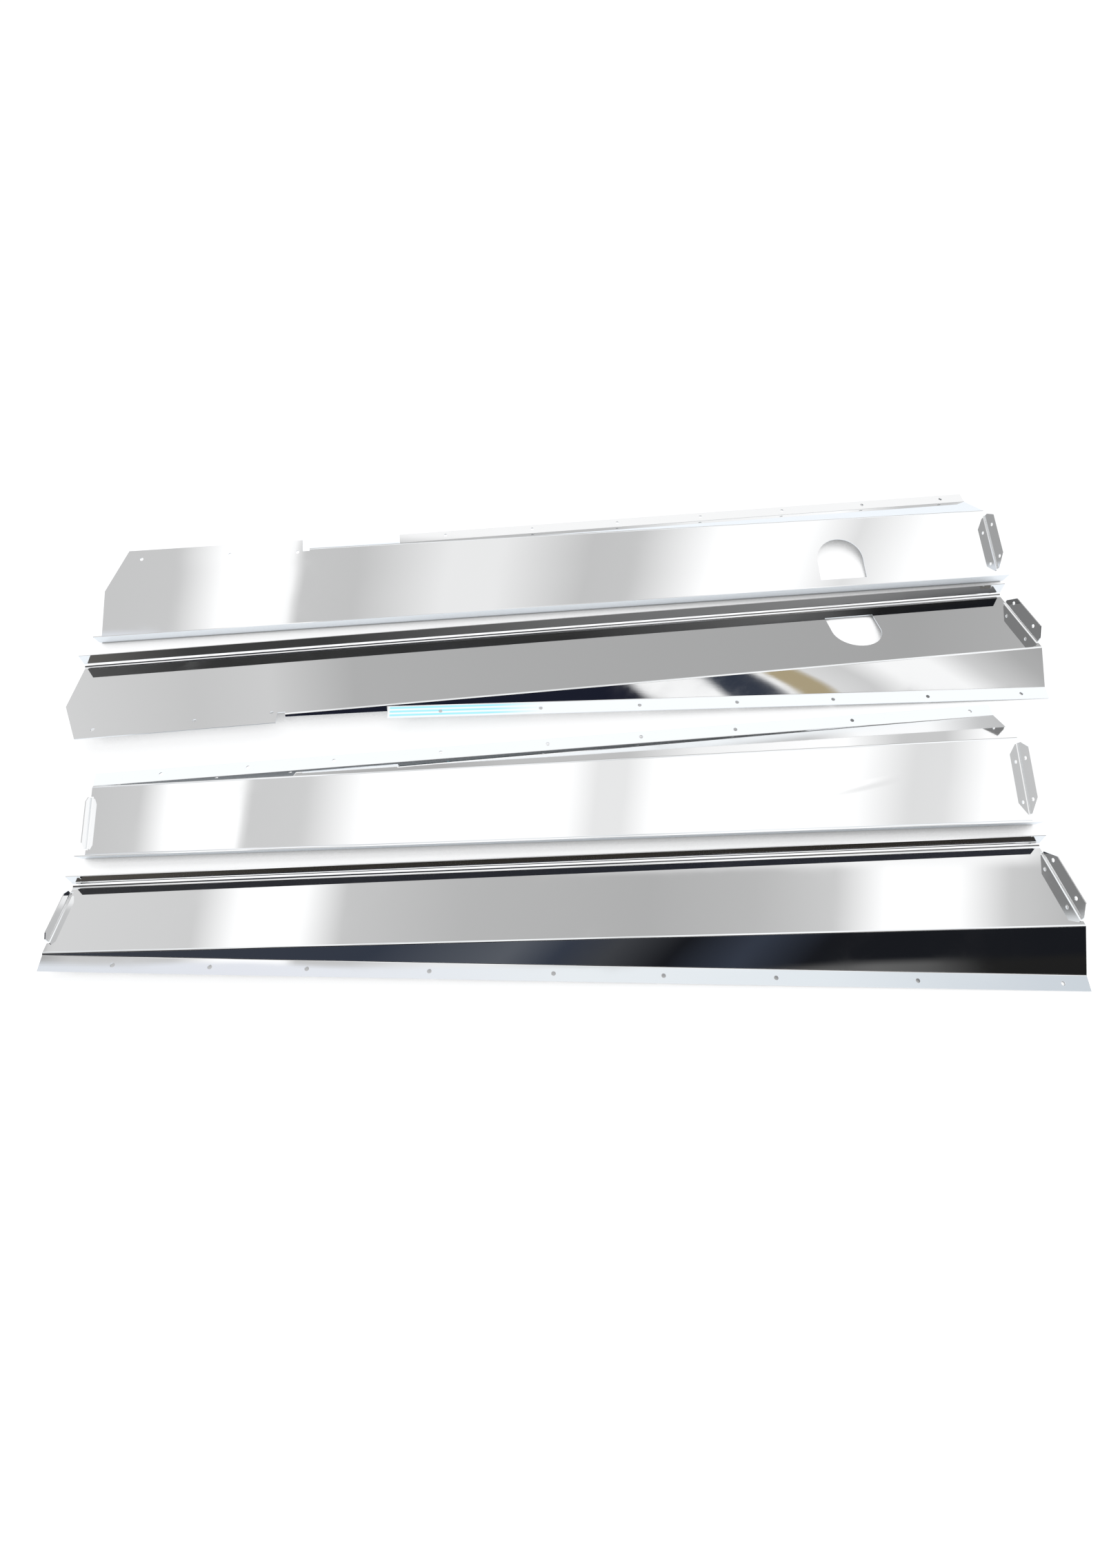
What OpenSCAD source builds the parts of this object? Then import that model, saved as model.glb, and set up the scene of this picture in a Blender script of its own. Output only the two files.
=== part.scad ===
// Set of four polished running-board panels for a truck: two mirrored pairs of bent sheet.
// Every panel lies on the floor on its long upright flange and on its bolt flange.
// Panel frame: x along the length, y from the upright flange outwards, z up from the tread face.

/* [Sheet] */
// Sheet thickness
sheet = 1.5; // [1.2:0.1:2]
// Height of the long upright flange
wall_h = 25.4; // [20:0.1:32]
// Fold angle of the long upright flange
wall_fold = 93; // [90:0.5:95]
// Inner radius of the long upright flange's bend
wall_r = 7; // [5:0.5:8]
// Inner radius of all other bends
bend_r = 3; // [2:0.25:3.5]
// Downward fold of the taper, measured from the tread
taper_fold = 41.5; // [41:0.5:44]
// Upward fold of the bolt flange, measured from the taper
flange_fold = 27; // [22:0.5:27]
// Width of the bolt flange
flange_w = 23; // [18:0.5:28]
// Diameter of the bolt holes
bolt_d = 6.5; // [5:0.1:8]
// Width of the relief cuts beside the folds
relief = 2; // [1:0.25:3]

/* [Short panel] */
// Length of the short panel
short_len = 1524; // [1500:1:1560]
// Tread width at the short panel's left end
short_w_left = 116; // [112:0.5:130]
// Tread width at the short panel's right end
short_w_right = 146.5; // [146:0.5:160]
// Taper width at the short panel's left end
short_taper_left = 3; // [3:0.1:8]
// Taper width at the short panel's right end
short_taper_right = 73.5; // [60:0.5:75]
// Height of the short panel's right end flange
short_right_h = 24; // [20:0.5:30]
// Height of the short panel's left end flange
short_left_h = 13.5; // [11:0.5:20]

/* [Long panel] */
// Length of the long panel
long_len = 1717; // [1705:1:1740]
// Distance of the outer bend from the upright flange at the long panel's left end
long_w_left = 172; // [170:0.5:176]
// Tread width at the long panel's right end
long_w_right = 157; // [154:0.5:162]
// Taper width where the long panel's bolt flange begins
long_taper_left = 3; // [3:0.1:8]
// Taper width at the long panel's right end
long_taper_right = 72; // [60:0.5:75]
// Outer edge of the long panel's flat left part
flat_edge = 188; // [185:0.5:195]
// Length of the corner cut at the long panel's left end
corner_len = 41; // [20:1:60]
// Where the corner cut begins on the long panel's left end
corner_start = 106; // [80:1:130]
// Where the flat left part ends
flat_end = 370; // [366:1:380]
// Where the bent lip begins
lip_start = 383; // [381:1:395]
// Width of the bent lip where it begins
lip_w_left = 5; // [3:0.5:8]
// Width of the bent lip at the bolt flange
lip_w_right = 11; // [6:0.5:14]
// Where the long panel's bolt flange begins
flange_start = 556; // [535:1:580]
// Height of the long panel's right end flange
long_right_h = 26; // [20:0.5:32]

/* [Cut-out] */
// Width of the cut-out in the long panel
cut_w = 91; // [70:1:110]
// Middle of the cut-out along the long panel
cut_mid = 1410; // [1350:1:1460]
// Straight edge of the cut-out
cut_inner = 29; // [20:0.5:40]
// Round end of the cut-out
cut_outer = 115; // [105:0.5:120]

/* [Layout on the floor] */
// Left end of the near short panel along the set
short_near_x = -759.7; // [-800:0.1:-720]
// Left end of the near short panel across the set
short_near_y = -347.6; // [-354:0.1:-345]
// Turn of the near short panel
short_near_yaw = 2.57; // [2.4:0.01:2.6]
// Left end of the far short panel along the set
short_far_x = -756.9; // [-800:0.1:-720]
// Left end of the far short panel across the set
short_far_y = -303.1; // [-306:0.1:-299]
// Turn of the far short panel
short_far_yaw = 2.22; // [2.15:0.01:2.3]
// Left end of the near long panel along the set
long_near_x = -865.5; // [-900:0.1:-840]
// Left end of the near long panel across the set
long_near_y = 68.5; // [64:0.1:72]
// Turn of the near long panel
long_near_yaw = 5.65; // [5.6:0.01:5.7]
// Left end of the far long panel along the set
long_far_x = -853.2; // [-890:0.1:-830]
// Left end of the far long panel across the set
long_far_y = 121.5; // [118:0.1:134]
// Turn of the far long panel
long_far_yaw = 5.0; // [4.95:0.01:5.2]

/* [Hidden] */
$fn = 48;
through = 20;
// How far a flat reaches into the bend beside it, and how much thicker the bend is on each face
tongue = 0.3;
proud = 0.05;

// Distances from each fold's corner to where its bend begins
wall_d = wall_r * tan(wall_fold / 2);
end_d = bend_r;
taper_ro = bend_r + sheet;
taper_d = taper_ro * tan(taper_fold / 2);
flange_d = bend_r * tan(flange_fold / 2);

// Places of the bolt holes, along the panel or across it
short_hole_s = [105, 245, 385, 562, 742, 902, 1066, 1273, 1486];
long_hole_first = 645;
long_hole_pitch = 170.7;
long_hole_count = 7;
long_hole_s = [for (i = [0 : long_hole_count - 1]) long_hole_first + i * long_hole_pitch];
flat_holes = [[65, 169], [232, 167], [360, 163]];

// Outlines of the end flanges: distance from the upright flange, height above the tread
short_right_edge = [[17, 5], [40, short_right_h], [124, short_right_h], [137, 7]];
short_right_holes = [[39, 12.5], [108, 12.5]];
short_left_edge = [[15, 8], [23, short_left_h], [90, short_left_h], [98, 8]];
long_right_edge = [[27, 7], [48, long_right_h], [131, long_right_h], [144, 9]];
long_right_holes = [[47, 14.5], [116, 14.5]];

// Bottom of the long panel's notch between the flat part and the bent lip
notch_bottom = 164;

// Angle of a bend line that moves sideways from a to b over a length
function skew(a, b, length) = atan2(b - a, length);

// Lowest outer corner of the bolt flange at the right end, across and up in the panel frame
function tip(w, taper_w) = let (a = taper_fold - flange_fold)
    [w + taper_w * cos(taper_fold) + flange_w * cos(a) - sheet * sin(a),
     -taper_w * sin(taper_fold) - flange_w * sin(a) - sheet * cos(a)];

// Tilt at which the panel stands on its upright flange's bend and on that corner
function rest_tilt(w, taper_w) = let (v = tip(w, taper_w) - [wall_d, wall_r])
    -(atan2(v.y, v.x) + asin((wall_r + sheet) / norm(v)));

// Height of the panel's own origin above the floor at that tilt
function rest_lift(tilt) = wall_r + sheet + proud - wall_d * sin(tilt) - wall_r * cos(tilt);

// Flat sheet below z = 0
module plate(outline) {
    translate([0, 0, -sheet]) linear_extrude(sheet) polygon(outline);
}

// Bolt holes through a sheet at the given places
module bolt_holes(places) {
    for (p = places)
        translate([p.x, p.y, -through / 2]) cylinder(d = bolt_d, h = through);
}

// Section that a bend turns about its axis
module bend_section(length, r) {
    translate([r - proud, 0]) square([sheet + 2 * proud, length]);
}

// Upward bend along x that starts at y = 0, with what follows it as children
module fold_up(length, angle, r) {
    translate([0, 0, r]) rotate([90, 0, 90]) rotate([0, 0, -90])
        rotate_extrude(angle = angle) bend_section(length, r);
    translate([0, r * sin(angle), r * (1 - cos(angle))]) rotate([angle, 0, 0]) children();
}

// Downward bend along x that starts at y = 0, with what follows it as children
module fold_down(length, angle, r) {
    ro = r + sheet;
    translate([0, 0, -ro]) rotate([90, 0, 90]) rotate([0, 0, 90 - angle])
        rotate_extrude(angle = angle) bend_section(length, r);
    translate([0, ro * sin(angle), -ro * (1 - cos(angle))]) rotate([-angle, 0, 0]) children();
}

// Long upright flange along the whole panel
module wall(length) {
    translate([0, wall_d, 0]) mirror([0, 1, 0]) fold_up(length, wall_fold, wall_r)
        plate([[0, -tongue], [length, -tongue], [length, wall_h - wall_d], [0, wall_h - wall_d]]);
}

// Upright flange across an end: its outline starts where its bend stops
module end_flange(edge, holes, from, way) {
    first = edge[0].x;
    last = edge[len(edge) - 1].x;
    outline = concat([[first, end_d - tongue]], edge, [[last, end_d - tongue]]);
    difference() {
        fold_up(last - first, 90, bend_r)
            plate([for (p = outline) [way * (p.x - from), p.y - end_d]]);
        translate([0, end_d, end_d]) rotate([90, 0, 0])
            bolt_holes([for (p = holes) [way * (p.x - from), p.y - end_d]]);
    }
}

module right_end_flange(length, edge, holes) {
    last = edge[len(edge) - 1].x;
    translate([length - sheet - end_d, last, 0]) rotate([0, 0, -90])
        end_flange(edge, holes, last, -1);
}

module left_end_flange(edge) {
    first = edge[0].x;
    translate([sheet + end_d, first, 0]) rotate([0, 0, 90]) end_flange(edge, [], first, 1);
}

// Edge of a tread's end, cut back where an end flange folds up, from low to high y
function end_cut(x, back, edge) = let (low = edge[0].x - relief, high = edge[len(edge) - 1].x + relief)
    [[x, low], [x + back, low], [x + back, high], [x, high]];

// Bolt flange that folds up from the taper's outer edge
module bolt_flange(length, taper_left, taper_right, hole_x) {
    turn = skew(taper_left, taper_right, length);
    run = length / cos(turn);
    translate([0, taper_left - taper_d, 0]) rotate([0, 0, turn]) translate([0, -flange_d, 0])
        fold_up(run, flange_fold, bend_r)
            difference() {
                plate([[0, -tongue], [run, -tongue], [run, flange_w - flange_d], [0, flange_w - flange_d]]);
                bolt_holes([for (x = hole_x) [x / cos(turn), flange_w / 2]]);
            }
}

// Width of the taper's flat part, with its tongue, where its outer bend line has the given width
function taper_flat(width, turn) = width - taper_d - flange_d / cos(turn) + tongue;

module short_panel() {
    turn = skew(short_w_left, short_w_right, short_len);
    run = short_len / cos(turn);
    bend_in = taper_d / cos(turn) - tongue;
    flange_turn = skew(short_taper_left, short_taper_right, run);
    back = sheet + end_d - tongue;
    left_cut = end_cut(0, back, short_left_edge);
    tread = concat(
        [[0, wall_d - tongue], [short_len, wall_d - tongue]],
        end_cut(short_len, -back, short_right_edge),
        [[short_len, short_w_right - bend_in], [0, short_w_left - bend_in]],
        [for (i = [3 : -1 : 0]) left_cut[i]]);
    plate(tread);
    wall(short_len);
    right_end_flange(short_len, short_right_edge, short_right_holes);
    left_end_flange(short_left_edge);
    translate([0, short_w_left, 0]) rotate([0, 0, turn]) translate([0, -taper_d, 0])
        fold_down(run, taper_fold, bend_r) {
            union() {
                plate([[0, -tongue], [run, -tongue],
                       [run, taper_flat(short_taper_right, flange_turn)],
                       [0, taper_flat(short_taper_left, flange_turn)]]);
                bolt_flange(run, short_taper_left, short_taper_right,
                            [for (s = short_hole_s) s / cos(turn)]);
            }
        }
}

// Opening with one straight and one round end, right through the sheet
module cut_out() {
    r = cut_w / 2;
    round_y = cut_outer - r;
    translate([cut_mid, 0, -through / 2]) linear_extrude(through) intersection() {
        translate([-cut_w, cut_inner]) square([2 * cut_w, cut_outer]);
        union() {
            translate([0, round_y]) circle(r, $fn = 96);
            translate([-r, 0]) square([cut_w, round_y]);
        }
    }
}

module long_panel() {
    turn = skew(long_w_left, long_w_right, long_len);
    slope = tan(turn);
    bend_in = taper_d / cos(turn) - tongue;
    lip_x = lip_start / cos(turn);
    flange_x = flange_start / cos(turn);
    end_x = long_len / cos(turn);
    flange_run = end_x - flange_x;
    flange_turn = skew(long_taper_left, long_taper_right, flange_run);
    back = sheet + end_d - tongue;
    tread = concat(
        [[0, wall_d - tongue], [long_len, wall_d - tongue]],
        end_cut(long_len, -back, long_right_edge),
        [[long_len, long_w_right - bend_in],
         [lip_start, long_w_left + slope * lip_start - bend_in],
         [lip_start, notch_bottom], [flat_end, notch_bottom],
         [flat_end, flat_edge], [corner_len, flat_edge], [0, corner_start]]);
    difference() {
        plate(tread);
        bolt_holes(flat_holes);
        cut_out();
    }
    wall(long_len);
    right_end_flange(long_len, long_right_edge, long_right_holes);
    taper_left_flat = taper_flat(long_taper_left, flange_turn);
    translate([0, long_w_left, 0]) rotate([0, 0, turn]) translate([lip_x, -taper_d, 0])
        fold_down(end_x - lip_x, taper_fold, bend_r)
            translate([-lip_x, 0, 0]) {
                plate([[lip_x, -tongue], [end_x, -tongue],
                       [end_x, taper_flat(long_taper_right, flange_turn)],
                       [flange_x, taper_left_flat], [flange_x - relief, taper_left_flat],
                       [flange_x - relief, lip_w_right - taper_d], [lip_x, lip_w_left - taper_d]]);
                translate([flange_x, 0, 0])
                    bolt_flange(flange_run, long_taper_left, long_taper_right,
                                [for (s = long_hole_s) s / cos(turn) - flange_x]);
            }
}

// Panel set down on the floor with its upright flange along the given line
module set_down(x, y, yaw, w, taper_w) {
    tilt = rest_tilt(w, taper_w);
    translate([x, y, rest_lift(tilt)]) rotate([0, 0, yaw]) children(0);
}

module short_at_rest() {
    rotate([rest_tilt(short_w_right, short_taper_right), 0, 0]) short_panel();
}

module long_at_rest() {
    rotate([rest_tilt(long_w_right, long_taper_right), 0, 0]) long_panel();
}

module short_panel_near() {
    color("gainsboro") set_down(short_near_x, short_near_y, short_near_yaw, short_w_right, short_taper_right)
        mirror([0, 1, 0]) short_at_rest();
}

module short_panel_far() {
    color("whitesmoke") set_down(short_far_x, short_far_y, short_far_yaw, short_w_right, short_taper_right)
        short_at_rest();
}

module long_panel_near() {
    color("silver") set_down(long_near_x, long_near_y, long_near_yaw, long_w_right, long_taper_right)
        mirror([0, 1, 0]) long_at_rest();
}

module long_panel_far() {
    color("white") set_down(long_far_x, long_far_y, long_far_yaw, long_w_right, long_taper_right)
        long_at_rest();
}

short_panel_near();
short_panel_far();
long_panel_near();
long_panel_far();
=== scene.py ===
import math
from collections import namedtuple

import bpy
from mathutils import Matrix

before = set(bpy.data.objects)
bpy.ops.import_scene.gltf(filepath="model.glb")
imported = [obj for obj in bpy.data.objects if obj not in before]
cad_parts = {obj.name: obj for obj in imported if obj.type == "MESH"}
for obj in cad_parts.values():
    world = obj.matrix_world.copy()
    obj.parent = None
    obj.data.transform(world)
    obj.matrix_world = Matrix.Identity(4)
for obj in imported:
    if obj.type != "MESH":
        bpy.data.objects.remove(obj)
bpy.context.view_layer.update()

# The photo's height and the camera that took it, in metres and degrees. Pitch is how far it looks down.
IMAGE_H = 2274
FOCAL_PX = 1028.4
SENSOR_MM = 36.0
CAMERA_AT = (-0.0026, -0.7037, 1.0578)
CAMERA_PITCH = 63.4
HORIZON_SHIFT_PX = 2.5
CAMERA_CLIP = (0.02, 100.0)

# The floor. Its glow makes it white in the picture and in the metal, and fades where the panels cover it:
# painted shade under and beside the panels.
FLOOR_SIZE = 16.0
FLOOR_DROP = 0.0004
FLOOR_COLOUR = (0.30, 0.305, 0.31)
FLOOR_GLOW = 0.82
FLOOR_IN_PICTURE = (1.0, 1.0, 1.0)
FLOOR_IN_METAL = (0.82, 0.87, 0.92)
SHADE_REACH = 0.055
SHADE_SAMPLES = 8
SHADE_RANGE = (0.22, 0.5)
SHADED_GLOW = 0.1

# The light above the floor and the pale surroundings
LAMP_AT = (0.0, 0.5, 2.6)
LAMP_SIZE = (3.6, 1.8)
LAMP_WATTS = 26.0
BACKDROP = (0.93, 0.935, 0.94)

# Sockets of a colour mix node: its factor, its two colours and its result
MIX_FACTOR, MIX_FIRST, MIX_SECOND, MIX_RESULT = 0, 6, 7, 2


def feed(tree, socket, value):
    """Give an input a fixed value, or link it where the value is another node's output."""
    if isinstance(value, bpy.types.NodeSocket):
        tree.links.new(value, socket)
    else:
        socket.default_value = value


def node(tree, kind, **values):
    """A shader node with its properties, or its inputs by name, set."""
    made = tree.nodes.new(kind)
    for name, value in values.items():
        if hasattr(made, name):
            setattr(made, name, value)
        else:
            feed(tree, made.inputs[name.replace("_", " ")], value)
    return made


def calc(tree, operation, first, second=None):
    made = node(tree, "ShaderNodeMath", operation=operation)
    feed(tree, made.inputs[0], first)
    if second is not None:
        feed(tree, made.inputs[1], second)
    return made.outputs[0]


def product(tree, *factors):
    result = factors[0]
    for factor in factors[1:]:
        result = calc(tree, "MULTIPLY", result, factor)
    return result


def remap(tree, value, span, new_span=(0.0, 1.0), kind="LINEAR"):
    made = node(tree, "ShaderNodeMapRange", interpolation_type=kind, Value=value,
                From_Min=span[0], From_Max=span[1], To_Min=new_span[0], To_Max=new_span[1])
    return made.outputs[0]


def step_mask(tree, value, start, end):
    """A soft step from 0 at start to 1 at end, either way round."""
    return remap(tree, value, (start, end), kind="SMOOTHSTEP")


def opaque(colour):
    """A grey or a colour as a shader's four numbers."""
    return (*colour, 1.0) if isinstance(colour, tuple) else (colour, colour, colour, 1.0)


def ramp(tree, value, stops):
    """A colour ramp over value from -1 to 1. Each stop is a place in that range and a grey or a colour."""
    made = node(tree, "ShaderNodeValToRGB", Fac=remap(tree, value, (-1.0, 1.0)))
    elements = made.color_ramp.elements
    while len(elements) < len(stops):
        elements.new(0.5)
    for element, (place, colour) in zip(elements, stops):
        element.position = (place + 1.0) / 2.0
        element.color = opaque(colour)
    return made.outputs[0]


def blend(tree, mask, first, second):
    """The first colour where mask is 0 and the second where it is 1. Each is a socket or a fixed colour."""
    made = node(tree, "ShaderNodeMix", data_type="RGBA")
    feed(tree, made.inputs[MIX_FACTOR], mask)
    for place, colour in ((MIX_FIRST, first), (MIX_SECOND, second)):
        is_socket = isinstance(colour, bpy.types.NodeSocket)
        feed(tree, made.inputs[place], colour if is_socket else opaque(colour))
    return made.outputs[MIX_RESULT]


# What the studio shows to the polished metal, in bands one above the other. Tilt is the angle from
# straight up in degrees, towards the camera's side where positive. Side is how far to the right a
# direction points. A band is one colour, or a list of stops that run along side.
WHITE = 1.1
NAVY, SHADE, TAN = (0.012, 0.014, 0.026), (0.034, 0.042, 0.062), (0.42, 0.35, 0.22)
BLACK, DUSK, BLUE_DUSK = (0.010, 0.011, 0.014), (0.050, 0.053, 0.060), (0.036, 0.044, 0.064)
FAR_FLOOR_LINE = [(-1.0, 0.22), (-0.80, 0.22), (-0.77, 0.70), (-0.32, 0.46), (-0.2, 0.46), (-0.11, 0.56),
                  (0.06, 0.56), (0.16, 0.95), (0.36, WHITE), (0.44, 0.62), (0.50, 0.62), (0.56, WHITE),
                  (0.62, WHITE), (0.70, 0.6), (1.0, 0.5)]
FAR_GREY = [(-1.0, 0.22), (-0.80, 0.22), (-0.77, 0.70), (-0.55, 0.60), (-0.44, 0.65), (-0.32, 0.46),
            (0.1, 0.42), (0.45, 0.40), (0.62, 0.46), (1.0, 0.5)]
WHITE_STRIP = [(-1.0, 1.0), (0.62, 1.0), (0.68, 0.6), (1.0, 0.6)]
FAR_WALL = [(-1.0, 0.24), (-0.745, 0.24), (-0.725, 0.70), (-0.53, 0.66), (-0.47, WHITE), (-0.38, WHITE),
            (-0.32, 0.60), (-0.15, 0.50), (0.1, 0.46), (0.25, 0.52), (0.36, 0.64), (0.43, WHITE),
            (0.53, WHITE), (0.60, 0.64), (0.70, 0.50), (1.0, 0.55)]
COOL_CEILING = (1.04, 1.07, 1.09)
FAR_CEILING = [(-1.0, 0.40), (-0.66, 0.40), (-0.62, 0.60), (-0.48, 0.62), (-0.42, WHITE), (-0.33, WHITE),
               (-0.315, 0.60), (-0.24, 0.58), (-0.12, 0.88), (-0.05, 0.88), (0.07, 0.58), (0.13, 0.60),
               (0.24, WHITE), (0.36, WHITE), (0.43, 0.80), (0.52, WHITE), (1.0, WHITE)]
COOL_STRIP = [(-1.0, (0.70, 0.75, 0.79)), (-0.4, (0.83, 0.85, 0.91)), (0.05, (0.87, 0.91, 0.94)),
              (0.4, (0.82, 0.87, 0.91)), (0.7, (0.66, 0.71, 0.76)), (1.0, (0.60, 0.66, 0.70))]
NEAR_CEILING = [(-1.0, 0.62), (-0.68, 0.62), (-0.645, 0.60), (-0.57, 0.64), (-0.53, WHITE), (-0.43, WHITE),
                (-0.418, 0.64), (-0.34, 0.66), (-0.26, WHITE), (0.03, WHITE), (0.07, 0.86), (0.11, 0.86),
                (0.15, WHITE), (0.44, WHITE), (0.52, 0.78), (0.57, 0.80), (0.63, WHITE), (1.0, WHITE)]
WARM_DARK = [(-1.0, (0.12, 0.11, 0.10)), (-0.6, (0.080, 0.074, 0.066)), (-0.35, (0.035, 0.032, 0.028)),
             (0.6, (0.030, 0.027, 0.024)), (1.0, 0.08)]
STUDIO_CORNER = [(-1.0, NAVY), (0.22, NAVY), (0.235, 1.0), (0.325, 1.0), (0.33, SHADE), (0.405, SHADE),
                 (0.41, 0.95), (0.422, 0.95), (0.428, TAN), (0.475, TAN), (0.48, 0.74), (0.54, 0.64),
                 (0.60, 1.0), (0.68, 1.0), (0.74, 0.66), (0.82, 0.45), (1.0, 0.3)]
BLUE_DARK = [(-1.0, 0.06), (-0.4, (0.030, 0.031, 0.036)), (0.2, (0.022, 0.024, 0.032)),
             (0.8, (0.030, 0.032, 0.040))]
GREY_DARK = [(-1.0, (0.24, 0.23, 0.21)), (-0.6, (0.19, 0.18, 0.165)), (-0.38, 0.055), (-0.2, 0.05),
             (0.1, 0.15), (0.5, 0.25), (1.0, 0.2)]
DARK_ROOM = [(-1.0, DUSK), (-0.25, BLUE_DUSK), (-0.06, (0.10, 0.11, 0.13)), (0.01, BLUE_DUSK), (0.08, DUSK),
             (0.17, BLACK), (0.27, BLUE_DUSK), (0.37, BLACK), (1.0, BLACK)]
DIM_STRIP = [(-1.0, 0.16), (-0.6, 0.14), (-0.35, 0.04), (0.15, 0.035), (0.45, 0.13), (0.52, 0.10),
             (0.60, 0.015), (1.0, 0.015)]
NEAR_GLOW = (1.2, 1.2, 1.2)

# A band takes over from the one before it between the tilts start and end, which are lower by drop for each
# unit of side. Its stops lean sideways by lean for each degree off its middle line, which lies at the tilt
# line where side is 0 and changes by slope for each unit of side.
Band = namedtuple("Band", "start end look drop line slope lean", defaults=(0.0, 0.0, 0.0, 0.0))
BANDS = [Band(-76.0, -72.0, FAR_GREY),
         Band(-58.0, -56.0, WHITE_STRIP),
         Band(-48.6, -47.4, FAR_WALL, line=-44.5, lean=0.002),
         Band(-41.6, -40.4, COOL_CEILING),
         Band(-24.0, -22.6, FAR_CEILING, line=-16.5, slope=-4.5, lean=0.004),
         Band(-11.8, -11.2, COOL_STRIP),
         Band(-8.0, -4.0, NEAR_CEILING, line=2.5, slope=-2.8, lean=0.002),
         Band(9.0, 11.0, WARM_DARK),
         Band(16.8, 17.6, STUDIO_CORNER, line=22.9, slope=-4.0, lean=-0.028),
         Band(24.0, 24.6, BLUE_DARK, drop=3.5),
         Band(29.0, 31.0, GREY_DARK),
         Band(36.5, 38.5, DARK_ROOM, line=41.7, lean=0.02),
         Band(43.4, 44.2, DIM_STRIP, drop=3.0),
         Band(47.0, 49.0, NEAR_GLOW)]
LEAST_UPRIGHT = 0.05


def tilt_and_side(tree):
    place = node(tree, "ShaderNodeTexCoord")
    x, y, z = node(tree, "ShaderNodeSeparateXYZ", Vector=place.outputs["Generated"]).outputs
    radians = calc(tree, "ARCTAN2", product(tree, y, -1.0), z)
    upright = calc(tree, "SQRT", calc(tree, "ADD", product(tree, y, y), product(tree, z, z)))
    side = calc(tree, "DIVIDE", x, calc(tree, "MAXIMUM", upright, LEAST_UPRIGHT))
    return product(tree, radians, math.degrees(1.0)), side


def band_look(tree, band, tilt, side):
    if not isinstance(band.look, list):
        return band.look
    line = calc(tree, "ADD", product(tree, side, band.slope), band.line)
    leaning = product(tree, calc(tree, "SUBTRACT", tilt, line), band.lean)
    return ramp(tree, calc(tree, "ADD", side, leaning), band.look)


def studio_world():
    world = bpy.data.worlds.new("studio")
    world.use_nodes = True
    bpy.context.scene.world = world
    tree = world.node_tree
    tree.nodes.clear()
    tilt, side = tilt_and_side(tree)
    colour = ramp(tree, side, FAR_FLOOR_LINE)
    for band in BANDS:
        level = calc(tree, "ADD", tilt, product(tree, side, band.drop))
        here = step_mask(tree, level, band.start, band.end)
        colour = blend(tree, here, colour, band_look(tree, band, tilt, side))
    paths = node(tree, "ShaderNodeLightPath")
    seen = blend(tree, paths.outputs["Is Camera Ray"], colour, BACKDROP)
    background = node(tree, "ShaderNodeBackground", Color=seen)
    node(tree, "ShaderNodeOutputWorld", Surface=background.outputs[0])


def floor_material():
    made = bpy.data.materials.new("pale_floor")
    made.use_nodes = True
    tree = made.node_tree
    tree.nodes.clear()
    paths = node(tree, "ShaderNodeLightPath")
    in_picture, in_metal = paths.outputs["Is Camera Ray"], paths.outputs["Is Glossy Ray"]
    # Painted shade: ambient occlusion turns the floor's glow down under and beside the panels and their
    # holes
    openness = node(tree, "ShaderNodeAmbientOcclusion", samples=SHADE_SAMPLES, Distance=SHADE_REACH)
    shade = remap(tree, openness.outputs["AO"], SHADE_RANGE, (SHADED_GLOW, 1.0))
    strength = product(tree, calc(tree, "MAXIMUM", in_picture, in_metal), product(tree, shade, FLOOR_GLOW))
    tint = blend(tree, in_metal, FLOOR_IN_PICTURE, FLOOR_IN_METAL)
    glow = node(tree, "ShaderNodeEmission", Color=tint, Strength=strength)
    diffuse = node(tree, "ShaderNodeBsdfDiffuse", Color=opaque(FLOOR_COLOUR))
    both = node(tree, "ShaderNodeAddShader")
    tree.links.new(diffuse.outputs[0], both.inputs[0])
    tree.links.new(glow.outputs[0], both.inputs[1])
    node(tree, "ShaderNodeOutputMaterial", Surface=both.outputs[0])
    return made


def floor():
    half = FLOOR_SIZE / 2
    mesh = bpy.data.meshes.new("floor")
    corners = [(-half, -half, 0), (half, -half, 0), (half, half, 0), (-half, half, 0)]
    mesh.from_pydata(corners, [], [(0, 1, 2, 3)])
    mesh.materials.append(floor_material())
    made = bpy.data.objects.new("floor", mesh)
    made.location.z = -FLOOR_DROP
    bpy.context.scene.collection.objects.link(made)


def overhead_light():
    lamp = bpy.data.lights.new("overhead", "AREA")
    lamp.shape = "RECTANGLE"
    lamp.size, lamp.size_y = LAMP_SIZE
    lamp.energy = LAMP_WATTS
    made = bpy.data.objects.new("overhead", lamp)
    made.location = LAMP_AT
    made.visible_glossy = False
    bpy.context.scene.collection.objects.link(made)


def camera():
    data = bpy.data.cameras.new("camera")
    data.sensor_width = SENSOR_MM
    data.lens = FOCAL_PX * SENSOR_MM / IMAGE_H
    data.shift_y = HORIZON_SHIFT_PX / IMAGE_H
    data.clip_start, data.clip_end = CAMERA_CLIP
    made = bpy.data.objects.new("camera", data)
    turn = Matrix.Rotation(math.radians(90 - CAMERA_PITCH), 4, "X")
    made.matrix_world = Matrix.Translation(CAMERA_AT) @ turn
    bpy.context.scene.collection.objects.link(made)
    bpy.context.scene.camera = made


STEEL = (0.93, 0.935, 0.94)

# Slow waves of the rolled sheet, longer along the panel, and a different stretch of them on each panel
WAVE_STRETCH = (1.6, 5.0, 5.0)
WAVE_SCALE = 1.5
WAVE_ROUGHNESS = 0.4
WAVE_DEPTH = 0.0005
WAVE_STEP = 1.7

# Fine polish lines along the panel
LINE_STRETCH = (2.0, 900.0, 900.0)
LINE_STRENGTH = 0.05
LINE_DEPTH = 0.00002

# Smudges and handling marks in the gloss
SMUDGE_SCALE = 9.0
SMUDGE_ROUGHNESS = 0.6
SMUDGE_DISTORTION = 0.4
SMUDGE_RANGE = (0.45, 0.75)
GLOSS_RANGE = (0.02, 0.07)

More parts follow.
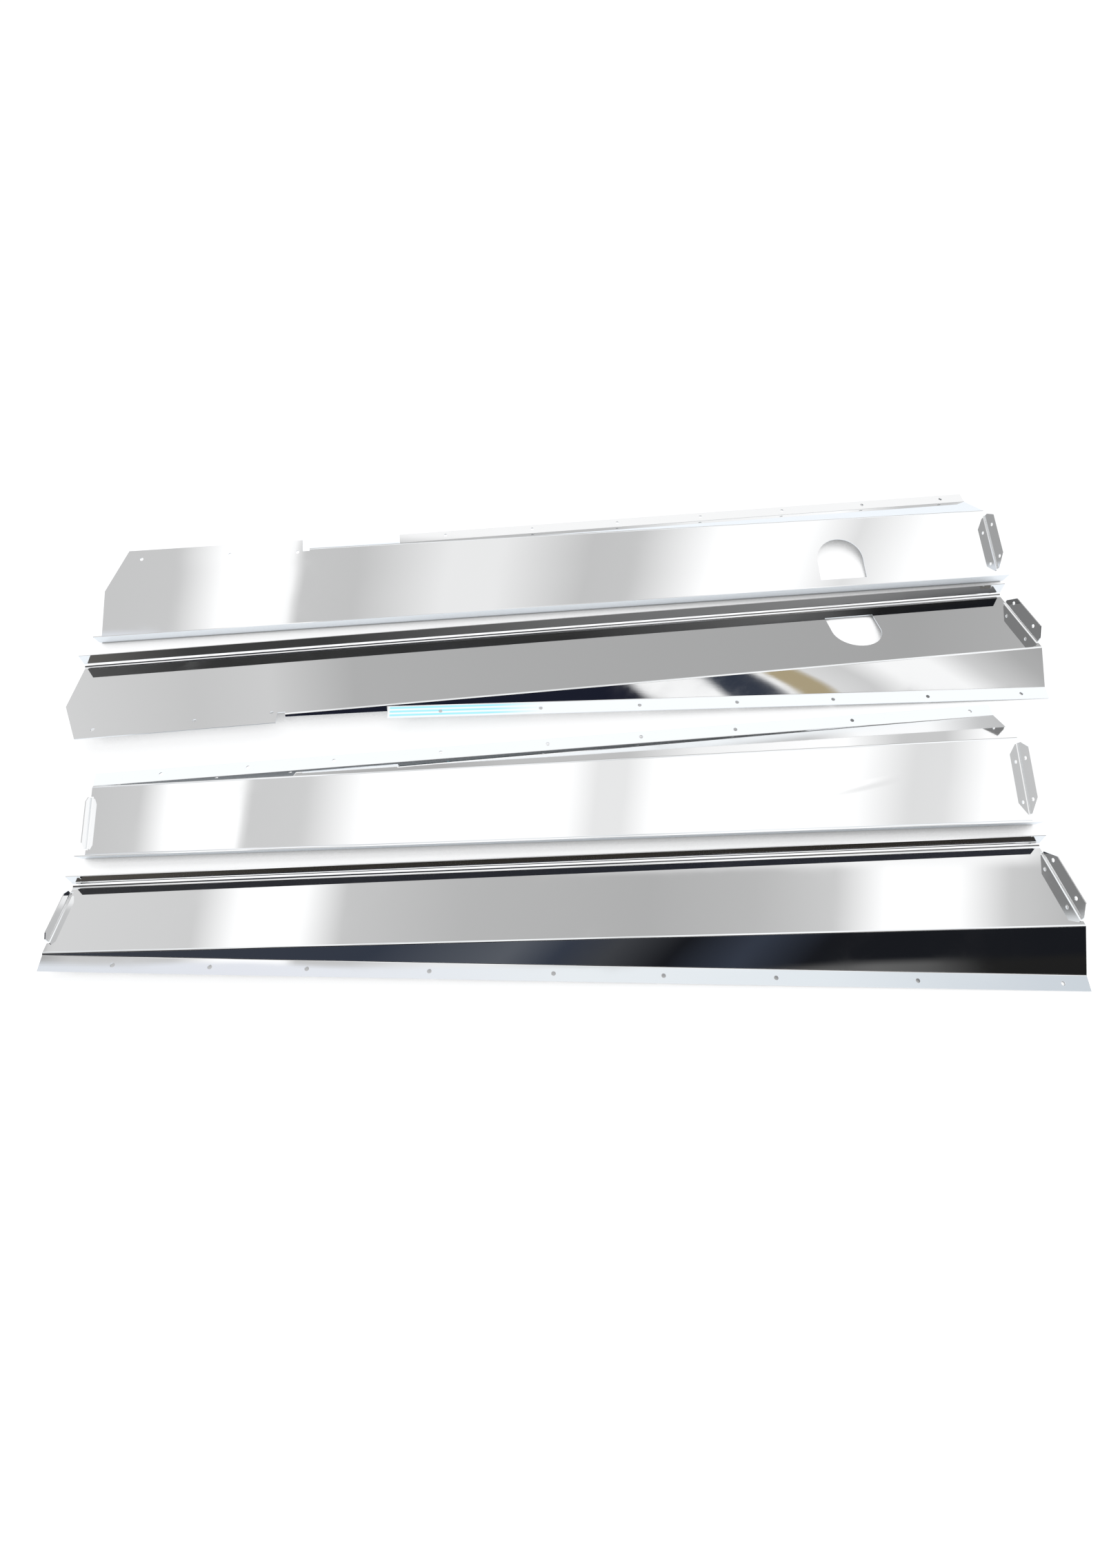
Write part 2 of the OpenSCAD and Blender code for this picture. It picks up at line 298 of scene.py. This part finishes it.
# Sheared edges, rougher and a little paler than the faces. The range is how far a rounded edge's normal
# turns off the face's own, as a cosine.
WORN_EDGE = (0.97, 0.972, 0.975)
EDGE_REACH = 0.0007
EDGE_SAMPLES = 4
EDGE_RANGE = (0.98, 0.80)
EDGE_ROUGHNESS = 0.25

# Leftover protective film on the near long panel's bolt flange, in metres and degrees: where its corner
# lies, the turn of the flange's bend line, and how far the film runs along and across it. Then come the
# shares along it and across it between which it is whole, and the range in which its streaks fade.
FILM_PANEL = "long_panel_near"
FILM = (0.42, 0.86, 0.97)
FILM_AT = (-0.294, -0.041)
FILM_TURN = 3.14
FILM_SPAN = (0.27, 0.023)
FILM_FULL = (0.01, 0.6)
FILM_SIDES = (0.04, 0.96)
FILM_DISTORTION = 0.6
FILM_STREAKS = (0.15, 0.75)

# A faint crease in the far short panel's tread: where it starts, its turn, its length and half width, its
# height, and the shares of its length between which it is at its full height
CREASE_PANEL = "short_panel_far"
CREASE_AT = (0.366, -0.211)
CREASE_TURN = 12.2
CREASE_SPAN = (0.20, 0.009)
CREASE_DEPTH = 0.0003
CREASE_FULL = (0.4, 0.5)


def along_and_across(tree, place, corner, turn, span):
    """Two places counted from a corner along a turned line and to its left, as shares of a span."""
    turned = node(tree, "ShaderNodeMapping", vector_type="TEXTURE", Vector=place,
                  Location=(*corner, 0.0), Rotation=(0.0, 0.0, math.radians(turn)))
    split = node(tree, "ShaderNodeSeparateXYZ", Vector=turned.outputs[0])
    return [calc(tree, "DIVIDE", length, size) for length, size in zip(split.outputs, span)]


def rise_and_fall(tree, share, full):
    """A mask over a share from 0 to 1, soft at both ends and at 1 between the two shares in full."""
    return product(tree, step_mask(tree, share, 0.0, full[0]), step_mask(tree, share, 1.0, full[1]))


def crease_height(tree, place):
    """A soft ridge that rises and dies away along its length."""
    along, across = along_and_across(tree, place, CREASE_AT, CREASE_TURN, CREASE_SPAN)
    ridge = step_mask(tree, calc(tree, "ABSOLUTE", across), 1.0, 0.0)
    return product(tree, rise_and_fall(tree, along, CREASE_FULL), ridge)


def film_mask(tree, place):
    """Where streaks of film are left on the flange. They thin out along it."""
    along, left = along_and_across(tree, place, FILM_AT, FILM_TURN, FILM_SPAN)
    across = product(tree, left, -1.0)
    inside = product(tree, rise_and_fall(tree, along, FILM_FULL), rise_and_fall(tree, across, FILM_SIDES))
    spread = node(tree, "ShaderNodeCombineXYZ", X=along, Y=across)
    streaks = node(tree, "ShaderNodeTexWave", bands_direction="Y", Vector=spread.outputs[0],
                   Scale=1.0, Distortion=FILM_DISTORTION)
    return product(tree, inside, step_mask(tree, streaks.outputs["Fac"], *FILM_STREAKS))


def surface_normal(tree, place, seed, has_crease):
    waves_at = node(tree, "ShaderNodeMapping", Vector=place, Scale=WAVE_STRETCH,
                    Location=(seed, 2 * seed, 3 * seed))
    waves = node(tree, "ShaderNodeTexNoise", Vector=waves_at.outputs[0], Scale=WAVE_SCALE,
                 Detail=1.0, Roughness=WAVE_ROUGHNESS)
    bent = node(tree, "ShaderNodeBump", Strength=1.0, Distance=WAVE_DEPTH, Height=waves.outputs[0])
    if has_crease:
        bent = node(tree, "ShaderNodeBump", Strength=1.0, Distance=CREASE_DEPTH,
                    Height=crease_height(tree, place), Normal=bent.outputs[0])
    lines_at = node(tree, "ShaderNodeMapping", Vector=place, Scale=LINE_STRETCH)
    lines = node(tree, "ShaderNodeTexNoise", Vector=lines_at.outputs[0], Scale=1.0, Detail=2.0)
    lined = node(tree, "ShaderNodeBump", Strength=LINE_STRENGTH, Distance=LINE_DEPTH,
                 Height=lines.outputs[0], Normal=bent.outputs[0])
    return lined.outputs[0]


def smudged_gloss(tree, place):
    smudge = node(tree, "ShaderNodeTexNoise", Vector=place, Scale=SMUDGE_SCALE, Detail=5.0,
                  Roughness=SMUDGE_ROUGHNESS, Distortion=SMUDGE_DISTORTION)
    return remap(tree, smudge.outputs[0], SMUDGE_RANGE, GLOSS_RANGE)


def edge_mask(tree):
    rounded = node(tree, "ShaderNodeBevel", samples=EDGE_SAMPLES, Radius=EDGE_REACH)
    surface = node(tree, "ShaderNodeNewGeometry")
    facing = node(tree, "ShaderNodeVectorMath", operation="DOT_PRODUCT")
    tree.links.new(rounded.outputs[0], facing.inputs[0])
    tree.links.new(surface.outputs["Normal"], facing.inputs[1])
    return remap(tree, facing.outputs["Value"], EDGE_RANGE)


def polished_steel(name, seed, has_film, has_crease):
    made = bpy.data.materials.new(name)
    made.use_nodes = True
    tree = made.node_tree
    place = node(tree, "ShaderNodeTexCoord").outputs["Object"]
    edge = edge_mask(tree)
    colour = blend(tree, edge, STEEL, WORN_EDGE)
    if has_film:
        colour = blend(tree, film_mask(tree, place), colour, FILM)
    roughness = calc(tree, "ADD", smudged_gloss(tree, place), product(tree, edge, EDGE_ROUGHNESS))
    shader = tree.nodes["Principled BSDF"]
    shader.inputs["Metallic"].default_value = 1.0
    feed(tree, shader.inputs["Base Color"], colour)
    feed(tree, shader.inputs["Roughness"], roughness)
    feed(tree, shader.inputs["Normal"], surface_normal(tree, place, seed, has_crease))
    return made


def dress_panels():
    for count, (name, panel) in enumerate(sorted(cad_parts.items()), start=1):
        seed = count * WAVE_STEP
        material = polished_steel(name + "_steel", seed, name == FILM_PANEL, name == CREASE_PANEL)
        panel.data.materials.clear()
        panel.data.materials.append(material)


studio_world()
floor()
overhead_light()
camera()
dress_panels()
bpy.context.scene.view_settings.view_transform = "Standard"
